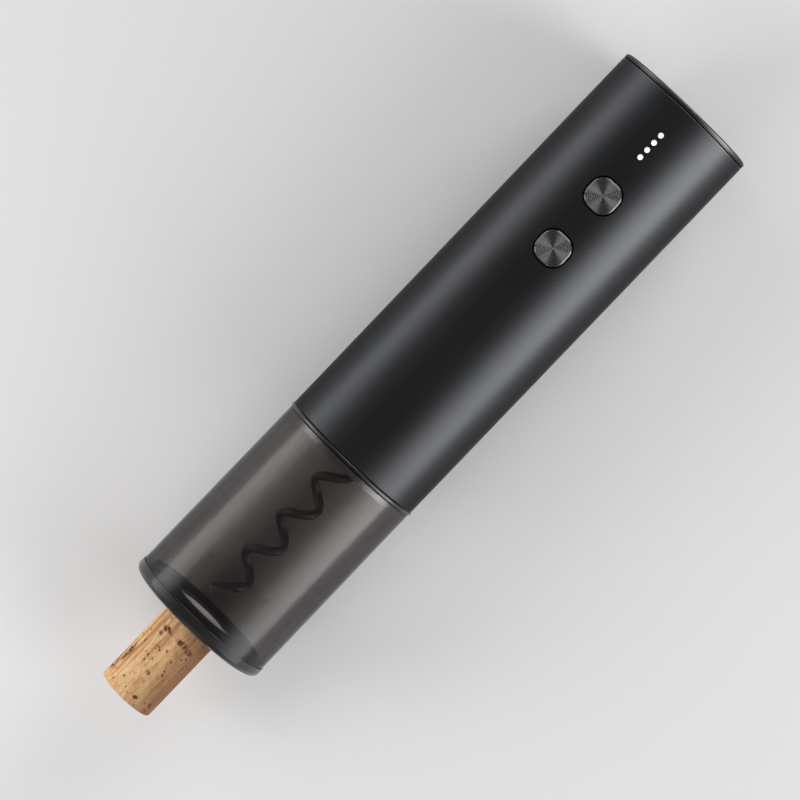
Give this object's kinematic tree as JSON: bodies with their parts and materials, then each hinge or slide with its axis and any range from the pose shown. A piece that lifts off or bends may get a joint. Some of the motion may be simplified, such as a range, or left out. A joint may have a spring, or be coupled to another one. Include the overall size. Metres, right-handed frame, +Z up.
{
  "type": "electric wine opener",
  "caption": "Electric wine opener: dark metal tube with two push buttons, smoked clear cork chamber, black worm and a drawn cork in the mouth.",
  "frame": {"origin": "centre of the bounding box's bottom face, on the surface that the opener lies on", "axes": "+X along the opener from the cork end to the top cap, +Z up through the button side, +Y across"},
  "size_m": [0.253, 0.051, 0.0512],
  "materials": {
    "housing_aluminium": "satin",
    "trim_aluminium": "satin",
    "smoked_clear": "gloss",
    "light_pipe_clear": "gloss",
    "base_gloss": "gloss",
    "stop_rubber": "matte",
    "worm_steel": "satin",
    "hub_plastic": "satin",
    "cork": "matte",
    "gear_acetal": "satin",
    "steel": "satin",
    "bronze": "satin",
    "copper": "satin",
    "ferrite": "matte",
    "cell_wrap": "gloss",
    "board": "satin",
    "chip_black": "matte",
    "led": "gloss",
    "lead_insulation": "satin"
  },
  "bodies": {
    "housing": {"top_cap": "housing_aluminium", "main_housing": "housing_aluminium", "sleeve_collar": "trim_aluminium", "clear_sleeve": "smoked_clear", "base_ring": "base_gloss", "bottle_stop": "stop_rubber", "cork_guide": "smoked_clear", "indicator_light_pipe": "light_pipe_clear", "gearbox_front_plate": "steel", "output_bearing": "bronze", "ring_gear": "gear_acetal", "motor_plate": "steel", "gearbox_screws": "steel", "motor_screws": "steel", "motor_can": "steel", "motor_end_cap": "hub_plastic", "motor_terminals": "copper", "motor_magnets": "ferrite", "rear_chassis": "hub_plastic", "front_chassis": "hub_plastic", "chassis_screws": "steel", "battery_cell": "cell_wrap", "battery_tabs": "copper", "control_board": "board", "board_screws": "steel", "tact_switches": "chip_black", "indicator_leds": "led", "board_components": "chip_black", "motor_leads": "lead_insulation", "battery_leads": "lead_insulation", "charging_board": "board", "usb_socket": "steel"},
    "worm": {"worm": "worm_steel", "worm_hub": "hub_plastic", "output_shaft": "steel", "stage_two_carrier": "steel", "stage_two_planet_pins": "steel"},
    "cork": {"cork": "cork"},
    "stage_one_carrier": {"stage_one_carrier": "gear_acetal", "stage_one_planet_pins": "steel"},
    "motor_rotor": {"motor_armature": "steel", "motor_pinion": "steel"},
    "lower_button": {"lower_button": "trim_aluminium"},
    "upper_button": {"upper_button": "trim_aluminium"},
    "stage_one_planet_1": {"stage_one_planet_1": "gear_acetal"},
    "stage_one_planet_2": {"stage_one_planet_2": "gear_acetal"},
    "stage_one_planet_3": {"stage_one_planet_3": "gear_acetal"},
    "stage_two_planet_1": {"stage_two_planet_1": "gear_acetal"},
    "stage_two_planet_2": {"stage_two_planet_2": "gear_acetal"},
    "stage_two_planet_3": {"stage_two_planet_3": "gear_acetal"}
  },
  "joints": [
    {"name": "worm_spin", "type": "hinge", "parent": "housing", "child": "worm", "pos_m": [-0.02565, 0, 0.0255], "axis": [-1, 0, 0], "range_deg": [0, 859.88]},
    {"name": "cork_lift", "type": "slide", "parent": "housing", "child": "cork", "axis": [1, 0, 0], "range_m": [0, 0.0376]},
    {"name": "stage_one_carrier_spin", "type": "hinge", "parent": "housing", "child": "stage_one_carrier", "pos_m": [-0.0105, 0, 0.0255], "axis": [-1, 0, 0], "range_deg": [0, 4012.79]},
    {"name": "motor_spin", "type": "hinge", "parent": "housing", "child": "motor_rotor", "pos_m": [-0.0083, 0, 0.0255], "axis": [-1, 0, 0], "range_deg": [0, 18726.29]},
    {"name": "stage_two_planet_1_spin", "type": "hinge", "parent": "worm", "child": "stage_two_planet_1", "pos_m": [-0.0159, -0.0105, 0.0255], "axis": [-1, 0, 0], "range_deg": [-2364.68, 0]},
    {"name": "stage_two_planet_2_spin", "type": "hinge", "parent": "worm", "child": "stage_two_planet_2", "pos_m": [-0.0159, 0.00525, 0.01641], "axis": [-1, 0, 0], "range_deg": [-2364.68, 0]},
    {"name": "stage_two_planet_3_spin", "type": "hinge", "parent": "worm", "child": "stage_two_planet_3", "pos_m": [-0.0159, 0.00525, 0.03459], "axis": [-1, 0, 0], "range_deg": [-2364.68, 0]},
    {"name": "stage_one_planet_1_spin", "type": "hinge", "parent": "stage_one_carrier", "child": "stage_one_planet_1", "pos_m": [-0.0083, -0.0105, 0.0255], "axis": [-1, 0, 0], "range_deg": [-11035.14, 0]},
    {"name": "stage_one_planet_2_spin", "type": "hinge", "parent": "stage_one_carrier", "child": "stage_one_planet_2", "pos_m": [-0.0083, 0.00525, 0.01641], "axis": [-1, 0, 0], "range_deg": [-11035.14, 0]},
    {"name": "stage_one_planet_3_spin", "type": "hinge", "parent": "stage_one_carrier", "child": "stage_one_planet_3", "pos_m": [-0.0083, 0.00525, 0.03459], "axis": [-1, 0, 0], "range_deg": [-11035.14, 0]},
    {"name": "lower_button_press", "type": "slide", "parent": "housing", "child": "lower_button", "axis": [0, 0, -1], "range_m": [0, 0.0005], "stiffness_N_per_m": 1500, "springref_m": -0.0003},
    {"name": "upper_button_press", "type": "slide", "parent": "housing", "child": "upper_button", "axis": [0, 0, -1], "range_m": [0, 0.0005], "stiffness_N_per_m": 1500, "springref_m": -0.0003}
  ],
  "couplings": [
    {"joint": "cork_lift", "follows": "worm_spin", "m_per_rad": 0.002499},
    {"joint": "stage_one_carrier_spin", "follows": "worm_spin", "ratio": 4.6667},
    {"joint": "motor_spin", "follows": "worm_spin", "ratio": 21.778},
    {"joint": "stage_two_planet_1_spin", "follows": "worm_spin", "ratio": -2.75},
    {"joint": "stage_two_planet_2_spin", "follows": "worm_spin", "ratio": -2.75},
    {"joint": "stage_two_planet_3_spin", "follows": "worm_spin", "ratio": -2.75},
    {"joint": "stage_one_planet_1_spin", "follows": "worm_spin", "ratio": -12.833},
    {"joint": "stage_one_planet_2_spin", "follows": "worm_spin", "ratio": -12.833},
    {"joint": "stage_one_planet_3_spin", "follows": "worm_spin", "ratio": -12.833}
  ]
}
